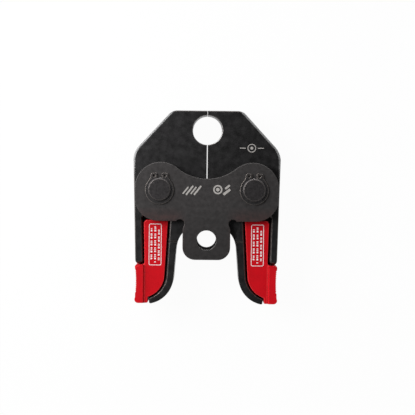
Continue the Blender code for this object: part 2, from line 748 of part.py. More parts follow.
def make_spring(jaw, finish):
    """Makes the closing spring: a coil along X, whose end turns lie close."""
    length = 2 * (SPRING_SEAT_X - SPRING_CLEARANCE) - SPRING_WIRE
    open_pitch = (length - 2 * SPRING_END_PITCH) / (SPRING_TURNS - 2)
    radius = (SPRING_DIAMETER - SPRING_WIRE) / 2
    curve = bpy.data.curves.new("closing_spring", "CURVE")
    curve.dimensions = "3D"
    curve.bevel_depth = SPRING_WIRE / 2
    curve.bevel_resolution = 2
    curve.use_fill_caps = True
    spline = curve.splines.new("POLY")
    steps = SPRING_TURNS * SPRING_POINTS_PER_TURN
    spline.points.add(steps)
    for step, point in enumerate(spline.points):
        turns = step / SPRING_POINTS_PER_TURN
        first = min(turns, 1)
        last = max(turns - SPRING_TURNS + 1, 0)
        x = (first + last) * SPRING_END_PITCH + (turns - first - last) * open_pitch - length / 2
        angle = 2 * math.pi * turns
        point.co = (x, SPRING_Y + radius * math.cos(angle), MIDDLE + radius * math.sin(angle), 1)
    curve.materials.append(finish)
    spring = bpy.data.objects.new("closing_spring", curve)
    spring.parent = jaw
    PIECES.objects.link(spring)
    return spring


for thing in list(bpy.data.objects):
    bpy.data.objects.remove(thing)
PIECES = new_collection("press_jaw")
CUTTERS = new_collection("press_jaw_cutters")

forged_black = new_material("forged_black_steel", (0.032, 0.032, 0.033), 0.5, 0.7)
plate_black = new_material("plate_black_steel", (0.042, 0.040, 0.039), 0.55, 0.7)
pin_black = new_material("pin_black_steel", (0.034, 0.033, 0.034), 0.45, 0.8)
ring_black = new_material("ring_spring_steel", (0.036, 0.035, 0.036), 0.4, 0.8)
spring_steel = new_material("bright_spring_steel", (0.35, 0.35, 0.36), 0.35, 1.0)
red_plastic = new_material("red_moulded_plastic", (0.56, 0.010, 0.016), 0.42, 0.0)

lowest = min(y for x, y in arm_outline(0, 0) + grip_outline())
jaw_empty = add_empty("jaw", (0, -(JAW_TOP + lowest) / 2, 0))
front_ring_level = FRONT_PLATE_FRONT + RING_CLEARANCE
rear_ring_level = REAR_PLATE_BACK - RING_CLEARANCE - RING_THICKNESS
for label, sign in SIDES:
    pivot_empty = add_empty(f"{label}_pivot", (sign * PIVOT_X, 0, 0), jaw_empty)
    make_arm(label, sign, pivot_empty, forged_black)
    make_grip(label, sign, pivot_empty, red_plastic)
    make_pin(label, sign, jaw_empty, pin_black)
    make_ring(f"{label}_front_ring", sign, front_ring_level, jaw_empty, ring_black)
    make_ring(f"{label}_rear_ring", sign, rear_ring_level, jaw_empty, ring_black)
make_plate("front_side_plate", FRONT_PLATE_BACK, FRONT_PLATE_FRONT, jaw_empty, plate_black)
make_plate("rear_side_plate", REAR_PLATE_BACK, REAR_PLATE_FRONT, jaw_empty, plate_black)
make_spring(jaw_empty, spring_steel)
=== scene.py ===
"""Looks of the press fitting tool jaw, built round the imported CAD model.

The file is laid out as a Blender add-on: each operator in the Press jaw panel makes one piece or one group
of like pieces, and the last one sets up the stage. Lengths are in metres in the CAD model's frame: X runs
across the jaw, Y from the tool end to the jaw tips, and Z out of the front side plate.
"""

import math

import bmesh
import bpy
from bpy.props import FloatProperty, FloatVectorProperty, IntProperty, PointerProperty
from mathutils import Matrix, Vector


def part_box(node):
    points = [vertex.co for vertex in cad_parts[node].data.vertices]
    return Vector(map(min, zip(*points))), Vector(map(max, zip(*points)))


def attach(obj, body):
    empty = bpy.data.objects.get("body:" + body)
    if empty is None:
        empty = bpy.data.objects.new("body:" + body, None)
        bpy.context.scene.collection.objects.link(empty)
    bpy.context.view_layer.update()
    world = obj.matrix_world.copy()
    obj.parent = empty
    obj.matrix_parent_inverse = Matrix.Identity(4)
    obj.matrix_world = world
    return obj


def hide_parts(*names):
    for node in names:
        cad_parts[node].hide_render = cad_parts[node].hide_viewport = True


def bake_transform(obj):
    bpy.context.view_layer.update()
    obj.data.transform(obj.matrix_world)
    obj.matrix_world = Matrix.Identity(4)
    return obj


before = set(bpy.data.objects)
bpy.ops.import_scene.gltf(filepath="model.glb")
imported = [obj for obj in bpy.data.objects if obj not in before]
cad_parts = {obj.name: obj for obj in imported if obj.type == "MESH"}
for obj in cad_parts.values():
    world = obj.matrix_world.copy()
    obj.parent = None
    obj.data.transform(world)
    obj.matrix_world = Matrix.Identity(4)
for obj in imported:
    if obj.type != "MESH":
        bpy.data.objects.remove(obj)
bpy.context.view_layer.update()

bl_info = {
    "name": "Press jaw",
    "version": (1, 0, 0),
    "blender": (4, 5, 0),
    "location": "3D View > Sidebar > Press jaw",
    "description": "Makes the pieces of a press fitting tool jaw and the stage it is photographed on",
    "category": "Object",
}

SIDES = (("left", -1), ("right", 1))

# Points of a CAD node's mesh this close together are one, and faces this nearly in line are one
MERGE_DISTANCE = 0.000002
FLAT_ANGLE = math.radians(1.0)

# Edges sharper than the first angle are rounded, and those sharper than the second look sharp
SHARP_ANGLE = math.radians(25)
CREASE_ANGLE = math.radians(50)

# The shortest edges of an arm and of a grip that are rounded, which leaves out the flats of small arcs
SHORTEST_ARM_EDGE = 0.00025
SHORTEST_GRIP_EDGE = 0.0006

# Points this close to a level lie at it, and faces whose normals have at least this much of Z are flat
LEVEL_TOLERANCE = 0.00001
FLAT_RISE = 0.99

# The range of Z in the normals of an arm's chamfers, and the least X in those along its outer sides
CHAMFER_RISE = (0.5, 0.85)
OUTER_LEAN = 0.3

# Points this close to a plane that cuts a mesh lie on it
CUT_DISTANCE = 0.0000001

# The face attribute that says how worn a face is and where a highlight is painted: up to 1 is brownish worn
# steel, 2 a grey painted highlight and 3 a bright one, and on the grips it marks the edges painted pale as
# highlights
WEAR_AND_HIGHLIGHT = "edge_wear_and_highlight"
CHAMFER_WEAR = 0.6
PLATE_EDGE_WEAR = 0.35
# Painted highlights on the head's outer rims: grey on the left arm, bright on the right arm
RIM_WEAR_AND_HIGHLIGHT = {-1: 2.2, 1: 3.0}

# The roots between a grip's teeth lie further out than this from the centre plane, and run along Z by
# more than this share of their length
TEETH_X = 0.0424
TEETH_RISE = 0.9

# The rows of a label: their spacing as a share of its width, and their spans as shares of its length
ROW_SPACING = 0.29
ROW_SPANS = {-1: 0.77, 0: 0.87, 1: 0.77}

MILLIMETRE = 0.001

# The corners of a dash and of a bar, as shares of its length and of its width
DASH_CORNER = 0.2
BAR_CORNER = 0.25

# Lengths of the dashes that stand for the lines of print, in millimetres, taken in turn
DASHES = (0.5, 0.9, 0.4, 0.75, 0.45, 1.1, 0.4, 0.6)

# Slanted bars etched into the front plate: middle, length, width and angle, in millimetres and degrees
BARS = (
    (-12.8, 10.1, 5.4, 0.85, 52.0),
    (-10.4, 10.1, 7.0, 1.05, 52.0),
    (-8.0, 10.1, 5.4, 0.85, 52.0),
    (-5.6, 10.1, 7.0, 1.05, 52.0),
    (12.0, 9.3, 5.2, 1.5, 38.0),
    (12.4, 12.3, 3.6, 1.2, 38.0),
)

# Etched rings with a dot in the middle: centre, diameter of the ring, diameter of the dot, and stroke
PLATE_RING = ((0.0066, 0.0107), 0.0056, 0.0022, 0.0009)
ARM_RING = ((0.0270, 0.0360), 0.0052, 0.0018, 0.0005)

# How much smaller than half a box's width its corners' radius is, where the box is to look like a disc
ROUND_MARGIN = 0.00001

# The dashes beside the arm's ring: distance of their middles from its centre, length, width and corners
ARM_DASH = (0.0055, 0.0038, 0.0005, 0.0002)

# Where the key lamp stands and what it faces
KEY_PLACE = (-0.30, 0.14, 0.36)
KEY_TARGET = (0, 0, 0.02)

# Where the camera stands, but for its height, what it faces, and how far it is rolled, in degrees
CAMERA_XY = (0.0005, 0.01948)
CAMERA_TARGET = (0.0005, -0.00027, 0.030)
CAMERA_ROLL = 0.6

# The camera's sensor in millimetres, and the nearest and the furthest distance that it shows
SENSOR_WIDTH = 36.0
CLIP_RANGE = (0.01, 20.0)

# Heights on a unit sphere between which the walls turn into the ceiling and the band of lamps fades out,
# and the side on which that band is brightest
CEILING_RISE = (0.72, 0.97)
HORIZON_RISE = (0.1, 0.45)
HORIZON_SIDE = (-0.45, 0.89, 0.0)

# Half the width of the floor, and how far it lies below the jaw
FLOOR_REACH = 3.0
FLOOR_DROP = 0.00005


def length(name, description, default):
    """Returns a length property."""
    return FloatProperty(
        name=name, description=description, default=default, min=0.0, unit="LENGTH", precision=5
    )


def colour(name, description, default):
    """Returns a colour property."""
    return FloatVectorProperty(
        name=name, description=description, default=default, size=3, min=0.0, max=1.0, subtype="COLOR"
    )


def share(name, description, default):
    """Returns a property between 0 and 1."""
    return FloatProperty(
        name=name, description=description, default=default, min=0.0, max=1.0, subtype="FACTOR"
    )


def power(name, description, default):
    """Returns a property for the power of a lamp."""
    return FloatProperty(name=name, description=description, default=default, min=0.0, unit="POWER")


def glow(name, description, default):
    """Returns a property for the strength of a surface's light, where 1 is white."""
    return FloatProperty(name=name, description=description, default=default, min=0.0)


class JawSizes(bpy.types.PropertyGroup):
    """Sizes of the details that are added to the CAD model."""

    arm_edge: length("Arm edges", "Radius of the edges of the forged arms", 0.00016)
    # The head rims carry painted highlights
    head_rim: length("Head rims", "Width of the worn rims along the outer sides of the head", 0.0007)
    plate_edge: length("Plate edges", "Radius of the edges of the side plates", 0.00005)
    pin_edge: length("Pin edges", "Radius of the edges of the pivot pins", 0.00012)
    pin_chamfer: length("Pin chamfers", "Width of the chamfers of the pivot pins", 0.0007)
    pin_groove: length("Pin grooves", "Depth of the grooves that hold the rings", 0.0003)
    ring_edge: length("Ring edges", "Radius of the edges of the stamped rings", 0.00018)
    pad_rim: length("Pad rims", "Radius of the rims of the grips' pads", 0.0005)
    tooth_depth: length("Tooth depth", "How much deeper the grips' teeth are than the CAD model's", 0.0002)
    tooth_edge: length("Tooth edges", "Radius of the teeth and of the other edges of the grips", 0.0001)
    ink_height: length("Ink height", "How far the print stands out of the grips", 0.00003)
    etch_height: length("Etch height", "How far the marks stand out of the steel", 0.00002)
    sunk: length("Sunk", "How far the print and the marks reach into what carries them", 0.00002)
    label_x: length("Label place", "Distance of each label's middle from the centre plane", 0.0311)
    label_drop: length("Label drop", "Distance of each label's middle below the jaw's middle", 0.0231)
    label_width: length("Label width", "Width of the line round each label", 0.0077)
    label_length: length("Label length", "Length of the line round each label", 0.0253)
    label_corner: length("Label corners", "Radius of the corners of the line round each label", 0.001)
    label_stroke: length("Label stroke", "Thickness of the line round each label", 0.00036)
    dash_width: length("Dash width", "Width of the dashes that stand for print", 0.00105)
    dash_gap: length("Dash gap", "Gap between two dashes", 0.00042)
    spring_wire: length("Spring wire", "Diameter of the closing spring's wire", 0.001)
    spring_end_pitch: length("Spring end pitch", "Pitch of the first and the last turn", 0.0011)
    spring_turns: IntProperty(name="Spring turns", description="Turns of the spring", default=8, min=3)
    spring_free: length("Free spring", "How far from the centre plane the spring bends", 0.0024)


class JawColours(bpy.types.PropertyGroup):
    """Colours of the jaw's finishes, in linear light."""

    forging: colour("Forged arms", "Black oxide on the forged arms", (0.042, 0.041, 0.042))
    plate: colour("Side plates", "Black oxide on the side plates", (0.042, 0.039, 0.039))
    pin: colour("Pivot pins", "Black oxide on the pins", (0.043, 0.040, 0.041))
    ring: colour("Retaining rings", "Phosphated spring steel", (0.044, 0.042, 0.043))
    bare: colour("Worn edges", "Steel where the black has worn off the edges", (0.25, 0.22, 0.20))
    # Painted highlights on the rims along the head's outer sides: the left ones grey, the right ones bright
    rim_highlight: colour("Left rims", "Steel of the rims along the head's left side", (0.17, 0.17, 0.17))
    bright: colour("Right rims", "Steel of the rims along the head's right side", (0.50, 0.50, 0.50))
    rust: colour("Brown tint", "Tint in the film of the plates towards the tool end", (0.085, 0.035, 0.032))
    spring: colour("Closing spring", "Bright drawn wire", (0.42, 0.42, 0.43))
    plastic: colour("Grips", "Red moulded plastic", (0.55, 0.003, 0.009))
    # Painted highlight: the grips' edges are painted pale red
    grip_edge_highlight: colour("Grip edges", "Red plastic rubbed pale along its edges", (0.78, 0.055, 0.06))
    ink: colour("Print", "Ink of the labels on the grips", (0.88, 0.84, 0.84))
    etch: colour("Etched marks", "Steel where a laser has bleached the black", (0.40, 0.38, 0.36))


class JawStage(bpy.types.PropertyGroup):
    """The camera, the lamps and the floor."""

    camera_height: length("Camera height", "Height of the camera above the floor", 0.760)
    lens: FloatProperty(
        name="Lens",
        description="Focal length on a 36 mm sensor",
        default=104.3,
        min=1.0,
        subtype="DISTANCE_CAMERA",
    )
    key_power: power("Key lamp", "Power of the softbox at the upper left", 1.9)
    softbox: length("Softbox", "Width of the softbox at the upper left", 0.28)
    walls: glow("Walls", "Strength of the pale walls", 0.46)
    ceiling: glow("Ceiling", "Strength of the dark ceiling", 0.02)
    horizon: glow("Horizon", "Strength of the band of lamps round the table", 6.0)
    floor_shadow: share("Floor shadow", "How much of its shadow the pale floor shows", 0.04)


# Meshes

def copied_node(name):
    """Returns the mesh of a CAD node with its points merged and its flat faces whole."""
    shape = bmesh.new()
    shape.from_mesh(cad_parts[name].data)
    bmesh.ops.remove_doubles(shape, verts=shape.verts, dist=MERGE_DISTANCE)
    bmesh.ops.dissolve_limit(
        shape,
        angle_limit=FLAT_ANGLE,
        use_dissolve_boundaries=False,
        verts=shape.verts,
        edges=shape.edges,
        delimit=set(),
    )
    return shape


def soften(shape, width, segments=2, chosen=None, worn=1.0):
    """Rounds the sharp edges of a mesh and marks the new faces with a level of wear, which on the head's
    rims and on the grips gives a painted highlight.
    """
    wear_and_highlight = shape.faces.layers.float.get(WEAR_AND_HIGHLIGHT) or shape.faces.layers.float.new(WEAR_AND_HIGHLIGHT)
    sharp = [
        edge for edge in shape.edges
        if edge.is_manifold and edge.calc_face_angle() > SHARP_ANGLE and (chosen is None or chosen(edge))
    ]
    made = bmesh.ops.bevel(
        shape,
        geom=sharp,
        offset=width,
        offset_type="OFFSET",
        segments=segments,
        profile=0.5,
        affect="EDGES",
        material=-1,
        clamp_overlap=False,
    )
    for face in made["faces"]:
        face[wear_and_highlight] = worn


def longer_than(shortest):
    """Returns a test that picks the edges longer than a length."""
    return lambda edge: edge.calc_length() > shortest


def lying_at(level):
    """Returns a test that picks the edges that lie at a level."""
    return lambda edge: all(abs(vert.co.z - level) < LEVEL_TOLERANCE for vert in edge.verts)


def is_chamfer(face):
    """Tells whether a face of an arm is a chamfer."""
    return CHAMFER_RISE[0] < abs(face.normal.z) < CHAMFER_RISE[1]


def mark_chamfer_wear_and_highlight(shape, rim):
    """Marks an arm's chamfers as worn, and those along the outer side of its head with its rim's level,
    which paints them as highlights.
    """
    wear_and_highlight = shape.faces.layers.float.new(WEAR_AND_HIGHLIGHT)
    for face in shape.faces:
        if is_chamfer(face):
            outer = abs(face.normal.x) > OUTER_LEAN and face.calc_center_median().y > 0
            face[wear_and_highlight] = rim if outer else CHAMFER_WEAR


def head_rim(edge):
    """Tells whether an edge of an arm runs between its face and the chamfer of its head's outer side."""
    flat, slope = sorted(edge.link_faces, key=lambda face: -abs(face.normal.z))
    outer = abs(slope.normal.x) > OUTER_LEAN and slope.normal.x * slope.calc_center_median().x > 0
    return abs(flat.normal.z) > FLAT_RISE and is_chamfer(slope) and outer and edge.verts[0].co.y > 0


def deepen_teeth(shape, depth):
    """Moves the roots between a grip's teeth inwards."""
    roots = set()
    for edge in shape.edges:
        upright = abs((edge.verts[0].co - edge.verts[1].co).normalized().z) > TEETH_RISE
        if upright and edge.is_manifold and not edge.is_convex and abs(edge.verts[0].co.x) > TEETH_X:
            roots.update(edge.verts)
    for vert in roots:
        vert.co.x -= math.copysign(depth, vert.co.x)


def lathe(profile, centre, steps=96):
    """Returns a closed mesh turned about a line along Z, from radii and levels in order."""
    shape = bmesh.new()
    points = [shape.verts.new((centre[0] + radius, centre[1], level)) for radius, level in profile]
    edges = [shape.edges.new(pair) for pair in zip(points, points[1:])]
    turn = {"cent": (*centre, 0), "axis": (0, 0, 1), "angle": 2 * math.pi, "use_merge": True}
    bmesh.ops.spin(shape, geom=points + edges, steps=steps, **turn)
    bmesh.ops.remove_doubles(shape, verts=shape.verts, dist=MERGE_DISTANCE)
    bmesh.ops.recalc_face_normals(shape, faces=shape.faces)
    return shape


def wind(shape, wire, centre, angle, advance, steps=24):
    """Sweeps the end of a wire on round a coil along X, and returns the new end of it."""
    count = round(steps * angle / (2 * math.pi))
    sweep = {"cent": centre, "axis": (1, 0, 0), "dvec": (advance / count, 0, 0)}
    return bmesh.ops.spin(shape, geom=wire, angle=angle, steps=count, **sweep)["geom_last"]


def rounded_box(centre, width, height, radius, steps=5):
    """Returns the outline of a box with round corners."""
    outline = []
    for quarter, (right, top) in enumerate(((1, 1), (-1, 1), (-1, -1), (1, -1))):
        corner_x = centre[0] + right * (width / 2 - radius)
        corner_y = centre[1] + top * (height / 2 - radius)
        for step in range(steps + 1):
            angle = (quarter + step / steps) * math.pi / 2
            outline.append((corner_x + radius * math.cos(angle), corner_y + radius * math.sin(angle)))
    return outline


def add_flat(shape, outline, level):
    """Adds a flat face at a level."""
    shape.faces.new([shape.verts.new((x, y, level)) for x, y in outline])


def add_border(shape, centre, width, height, radius, stroke, level, steps=5):
    """Adds the flat border of a box with round corners, a stroke wide, at a level."""
    outer = rounded_box(centre, width, height, radius, steps)
    inner = rounded_box(centre, width - 2 * stroke, height - 2 * stroke, radius - stroke, steps)
    loops = [[shape.verts.new((x, y, level)) for x, y in outline] for outline in (outer, inner)]
    for index in range(len(outer)):
        after = (index + 1) % len(outer)
        shape.faces.new((loops[0][index], loops[0][after], loops[1][after], loops[1][index]))


def thicken(shape, thickness):
    """Gives all the flat faces of a mesh a thickness, downwards."""
    bmesh.ops.recalc_face_normals(shape, faces=shape.faces)
    for face in shape.faces:
        if face.normal.z < 0:
            face.normal_flip()
    bmesh.ops.solidify(shape, geom=shape.faces[:], thickness=thickness)


def add_piece(name, shape, finish, body, replaces=None):
    """Makes an object of a mesh, smooth between its sharp edges, and gives it a slot with its finish.

    Where a body is given, the piece rides on it. Where a CAD node is given, the piece replaces it.
    """
    mesh = bpy.data.meshes.new(name)
    shape.to_mesh(mesh)
    shape.free()
    mesh.shade_smooth()
    mesh.set_sharp_from_angle(angle=CREASE_ANGLE)
    mesh.materials.append(finish)
    piece = bpy.data.objects.new(name, mesh)
    bpy.context.scene.collection.objects.link(piece)
    even = piece.modifiers.new("even_shading", "WEIGHTED_NORMAL")
    even.keep_sharp = True
    even.weight = 80
    if body:
        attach(piece, body)
    if replaces:
        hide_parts(replaces)
    return piece


# Finishes

class Nodes:
    """A node tree whose nodes are added one after another."""

    def __init__(self, tree):
        self.tree = tree

    def add(self, kind, inputs=(), **settings):
        """Adds a node, with its settings, and its inputs set or linked by name or number."""
        node = self.tree.nodes.new(kind)
        for key, value in settings.items():
            setattr(node, key, value)
        for key, value in dict(inputs).items():
            self.give(node.inputs[key], value)
        return node

    def give(self, socket, value):
        """Sets a socket to a value, or links it to another node's output."""
        if isinstance(value, bpy.types.NodeSocket):
            self.tree.links.new(value, socket)
        else:
            socket.default_value = value

    def spread(self, value, low, high, start=0.3, end=0.7, curve="LINEAR"):
        """Maps a value between start and end to one between low and high."""
        inputs = {"Value": value, "From Min": start, "From Max": end, "To Min": low, "To Max": high}
        return self.add("ShaderNodeMapRange", inputs, interpolation_type=curve).outputs["Result"]

    def combined(self, operation, first, second=0.0):
        """Does a sum with one or two values."""
        return self.add("ShaderNodeMath", {0: first, 1: second}, operation=operation).outputs[0]

    def times(self, first, second):
        """Multiplies two values."""
        return self.combined("MULTIPLY", first, second)


class Finish(Nodes):
    """A material whose shader takes what the other nodes make."""

    def __init__(self, name):
        self.material = bpy.data.materials.new(name)
        self.material.use_nodes = True
        super().__init__(self.material.node_tree)
        self.shader = self.tree.nodes["Principled BSDF"]
        self.place = self.add("ShaderNodeTexCoord").outputs["Object"]

    def noise(self, scale, detail=2.0, roughness=0.5, place=None):
        """Adds a noise pattern whose scale is in cells per metre."""
        inputs = {"Vector": place or self.place, "Scale": scale, "Detail": detail, "Roughness": roughness}
        return self.add("ShaderNodeTexNoise", inputs).outputs["Fac"]

    def shifted(self, offset):
        """Adds the object's coordinates, moved."""
        return self.add("ShaderNodeMapping", {"Vector": self.place, "Location": offset}).outputs["Vector"]

    def mixed(self, factor, first, second):
        """Mixes two colours."""
        return self.add("ShaderNodeMix", {0: factor, 6: first, 7: second}, data_type="RGBA").outputs[2]

    def bump(self, height, distance, strength):
        """Adds a bump."""
        inputs = {"Height": height, "Distance": distance, "Strength": strength}
        return self.add("ShaderNodeBump", inputs).outputs["Normal"]

    def shade(self, **inputs):
        """Sets or links the shader's inputs, with underscores for spaces."""
        for key, value in inputs.items():
            self.give(self.shader.inputs[key.replace("_", " ")], value)


def tinted(base, factor):
    """Returns a colour made lighter or darker, as four values."""
    return (*[min(1.0, channel * factor) for channel in base], 1.0)


def black_steel(name, base, colours, offset, mottle, grain, roughness, worn, metallic, rust_and_low_shade=False):
    """Makes a black oxide finish: a mottled film with fine grain, thin along worn edges, with painted
    highlights on the faces at wear levels 2 and 3.

    Mottle and grain are in cells per metre. Worn is the most bare steel that shows where the wear is 1.
    Where asked, the film is painted darker towards the tool end, as shade, and has a brown tint there in
    patches.
    """
    finish = Finish(name)
    place = finish.shifted((offset, offset / 2, -offset))
    clouds = finish.noise(mottle, 3.0, 0.55, place)
    specks = finish.noise(grain, 2.0, 0.6, place)
    film = finish.mixed(finish.spread(clouds, 0.0, 1.0), tinted(base, 0.82), tinted(base, 1.2))
    film = finish.mixed(finish.spread(specks, 0.0, 0.5, 0.45, 0.75), film, tinted(base, 1.9))
    if rust_and_low_shade:
        split = finish.add("ShaderNodeSeparateXYZ", {0: finish.place}).outputs
        # Painted shade: the film darkens towards the tool end
        film = finish.mixed(finish.spread(split["Y"], 0.0, 0.35, 0.0, -0.016), film, tinted(base, 0.45))
        beside = finish.spread(finish.combined("ABSOLUTE", split["X"]), 0.0, 1.0, 0.012, 0.02)
        low = finish.times(finish.spread(split["Y"], 0.0, 0.5, 0.0, -0.006), beside)
        patchy = finish.times(low, finish.spread(clouds, 0.3, 1.0))
        film = finish.mixed(patchy, film, tinted(colours.rust, 1.0))
    edges = finish.add("ShaderNodeAttribute", attribute_name=WEAR_AND_HIGHLIGHT).outputs["Fac"]
    least = finish.spread(edges, 0.25, 0.7, 1.0, 2.0)
    patches = finish.spread(finish.noise(mottle * 3, 3.0, 0.6, place), least, 1.0, 0.35, 0.65)
    wear_and_highlight = finish.times(finish.times(edges, patches), worn)
    # Painted highlights: faces at level 2 take the grey of the left rims, and those at 3 the bright grey of
    # the right rims
    grey = finish.spread(edges, 0.0, 1.0, 1.0, 2.0)
    bright = finish.spread(edges, 0.0, 1.0, 2.2, 3.0)
    bare = finish.mixed(grey, tinted(colours.bare, 1.0), tinted(colours.rim_highlight, 1.0))
    bare = finish.mixed(bright, bare, tinted(colours.bright, 1.0))
    uneven = finish.combined("ADD", clouds, specks)
    finish.shade(
        Base_Color=finish.mixed(wear_and_highlight, film, bare),
        Metallic=metallic,
        Roughness=finish.spread(uneven, roughness - 0.06, roughness + 0.06, 0.7, 1.3),
        Normal=finish.bump(specks, 0.000012, 0.5),
    )
    return finish.material


def red_plastic(base, rim_highlight):
    """Makes the grips' moulded plastic, with the fine spark-eroded texture of its mould and its rounded
    edges painted pale as highlights.
    """
    finish = Finish("red_moulded_plastic")
    clouds = finish.noise(160.0, 2.0, 0.5)
    texture = finish.noise(3800.0, 2.0, 0.6)
    edges = finish.add("ShaderNodeAttribute", attribute_name=WEAR_AND_HIGHLIGHT).outputs["Fac"]
    skin = finish.mixed(finish.spread(clouds, 0.0, 1.0), tinted(base, 0.94), tinted(base, 1.05))
    # Painted highlight: the marked edges are mixed towards pale red
    skin = finish.mixed(finish.times(edges, 0.4), skin, tinted(rim_highlight, 1.0))
    finish.shade(
        Base_Color=skin,
        Roughness=finish.spread(texture, 0.40, 0.52),
        Specular_IOR_Level=0.15,
        Normal=finish.bump(texture, 0.00002, 0.35),
    )
    return finish.material


def printing_ink(base):
    """Makes the ink of the print on the grips."""
    finish = Finish("white_print")
    thin = finish.noise(5200.0, 2.0, 0.6)
    finish.shade(
        Base_Color=finish.mixed(finish.spread(thin, 0.0, 1.0), tinted(base, 0.93), tinted(base, 1.04)),
        Roughness=finish.spread(thin, 0.5, 0.62),
        Normal=finish.bump(thin, 0.000008, 0.4),
    )
    return finish.material


def etched_steel(base):
    """Makes the bleached steel of the etched marks, with the fine lines of the laser's passes."""
    finish = Finish("etched_steel")
    grain = finish.noise(4200.0, 2.0, 0.6)
    passes = finish.add("ShaderNodeTexWave", {"Vector": finish.place, "Scale": 1600.0, "Distortion": 0.4},
                        bands_direction="X").outputs["Fac"]
    finish.shade(
        Base_Color=finish.mixed(finish.spread(grain, 0.0, 1.0), tinted(base, 0.86), tinted(base, 1.1)),
        Metallic=0.2,
        Roughness=finish.spread(grain, 0.55, 0.7),
        Normal=finish.bump(passes, 0.000006, 0.3),
    )
    return finish.material


def spring_wire(base):
    """Makes the spring's bright drawn wire."""
    finish = Finish("bright_spring_wire")
    drawn = finish.noise(900.0, 3.0, 0.6)
    finish.shade(
        Base_Color=finish.mixed(finish.spread(drawn, 0.0, 1.0), tinted(base, 0.75), tinted(base, 1.1)),
        Metallic=1.0,
        Roughness=finish.spread(drawn, 0.28, 0.42),
        Normal=finish.bump(drawn, 0.00001, 0.3),
    )
    return finish.material


# Operators

class PRESSJAW_OT_arms(bpy.types.Operator):
    """Makes the two forged jaw arms"""

    bl_idname = "press_jaw.arms"
    bl_label = "Jaw arms"

    def execute(self, context):
        sizes = context.scene.press_jaw_sizes
        colours = context.scene.press_jaw_colours
        finish = black_steel(
            "forged_black_oxide", colours.forging, colours,
            offset=0.3, mottle=260.0, grain=2600.0, roughness=0.38, worn=0.4, metallic=0.9,
        )
        for side_name, side in SIDES:
            node = f"{side_name}_jaw_arm"
            rim = RIM_WEAR_AND_HIGHLIGHT[side]
            shape = copied_node(node)
            # The outer rims of the head get a level that paints them as highlights
            mark_chamfer_wear_and_highlight(shape, rim)
            soften(shape, sizes.head_rim, 1, head_rim, rim)
            soften(shape, sizes.arm_edge, 2, longer_than(SHORTEST_ARM_EDGE))
            add_piece(f"{side_name}_arm_forging", shape, finish, f"{side_name}_arm", node)
        return {"FINISHED"}


class PRESSJAW_OT_plates(bpy.types.Operator):
    """Makes the front and rear side plates"""

    bl_idname = "press_jaw.plates"
    bl_label = "Side plates"

    def execute(self, context):
        sizes = context.scene.press_jaw_sizes
        colours = context.scene.press_jaw_colours
        # The plates' film is painted darker towards the tool end as shade, with patches of brown tint
        finish = black_steel(
            "plate_black_oxide", colours.plate, colours,
            offset=0.7, mottle=420.0, grain=3000.0, roughness=0.5, worn=0.3, metallic=0.6, rust_and_low_shade=True,
        )
        for end in ("front", "rear"):
            node = f"{end}_side_plate"
            shape = copied_node(node)
            soften(shape, sizes.plate_edge, 2, worn=PLATE_EDGE_WEAR)
            add_piece(f"{end}_plate_blank", shape, finish, "frame", node)
        return {"FINISHED"}


class PRESSJAW_OT_pins(bpy.types.Operator):
    """Makes the two pivot pins"""

    bl_idname = "press_jaw.pins"
    bl_label = "Pivot pins"

    def execute(self, context):
        sizes = context.scene.press_jaw_sizes
        colours = context.scene.press_jaw_colours
        finish = black_steel(
            "pin_black_oxide", colours.pin, colours,
            offset=1.1, mottle=700.0, grain=1500.0, roughness=0.42, worn=0.6, metallic=0.75,
        )
        for side_name, _ in SIDES:
            node = f"{side_name}_pivot_pin"
            low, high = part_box(node)
            centre = ((low[0] + high[0]) / 2, (low[1] + high[1]) / 2)
            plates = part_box("rear_side_plate")[0][2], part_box("front_side_plate")[1][2]
            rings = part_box(f"{side_name}_rear_ring")[0][2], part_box(f"{side_name}_front_ring")[1][2]
            radius = (high[0] - low[0]) / 2
            root = radius - sizes.pin_groove
            profile = (
                (0, high[2]), (radius - sizes.pin_chamfer, high[2]), (radius, high[2] - sizes.pin_chamfer),
                (radius, rings[1]), (root, rings[1]), (root, plates[1]), (radius, plates[1]),
                (radius, plates[0]), (root, plates[0]), (root, rings[0]), (radius, rings[0]),
                (radius, low[2] + sizes.pin_chamfer), (radius - sizes.pin_chamfer, low[2]), (0, low[2]),
            )
            shape = lathe(profile, centre)
            soften(shape, sizes.pin_edge)
            add_piece(f"{side_name}_turned_pin", shape, finish, "frame", node)
        return {"FINISHED"}


class PRESSJAW_OT_rings(bpy.types.Operator):
    """Makes the four retaining rings"""

    bl_idname = "press_jaw.rings"
    bl_label = "Retaining rings"

    def execute(self, context):
        sizes = context.scene.press_jaw_sizes
        colours = context.scene.press_jaw_colours
        finish = black_steel(
            "ring_phosphate", colours.ring, colours,
            offset=1.9, mottle=900.0, grain=3200.0, roughness=0.42, worn=1.3, metallic=0.75,
        )
        for side_name, _ in SIDES:
            for end in ("front", "rear"):
                node = f"{side_name}_{end}_ring"
                shape = copied_node(node)
                soften(shape, sizes.ring_edge, 2)
                add_piece(f"{node}_stamping", shape, finish, "frame", node)
        return {"FINISHED"}


class PRESSJAW_OT_grips(bpy.types.Operator):
    """Makes the two moulded grips"""

    bl_idname = "press_jaw.grips"
    bl_label = "Grips"

    def execute(self, context):
        sizes = context.scene.press_jaw_sizes
        colours = context.scene.press_jaw_colours
        finish = red_plastic(colours.plastic, colours.grip_edge_highlight)
        for side_name, _ in SIDES:
            node = f"{side_name}_grip"
            shape = copied_node(node)
            deepen_teeth(shape, sizes.tooth_depth)
            level = pad_level(side_name)
            # Every rounded edge of a grip is marked for the painted pale highlight
            soften(shape, sizes.pad_rim, 4, lying_at(level))
            soften(shape, sizes.tooth_edge, 2, longer_than(SHORTEST_GRIP_EDGE))
            add_piece(f"{side_name}_moulded_grip", shape, finish, f"{side_name}_arm", node)
        return {"FINISHED"}


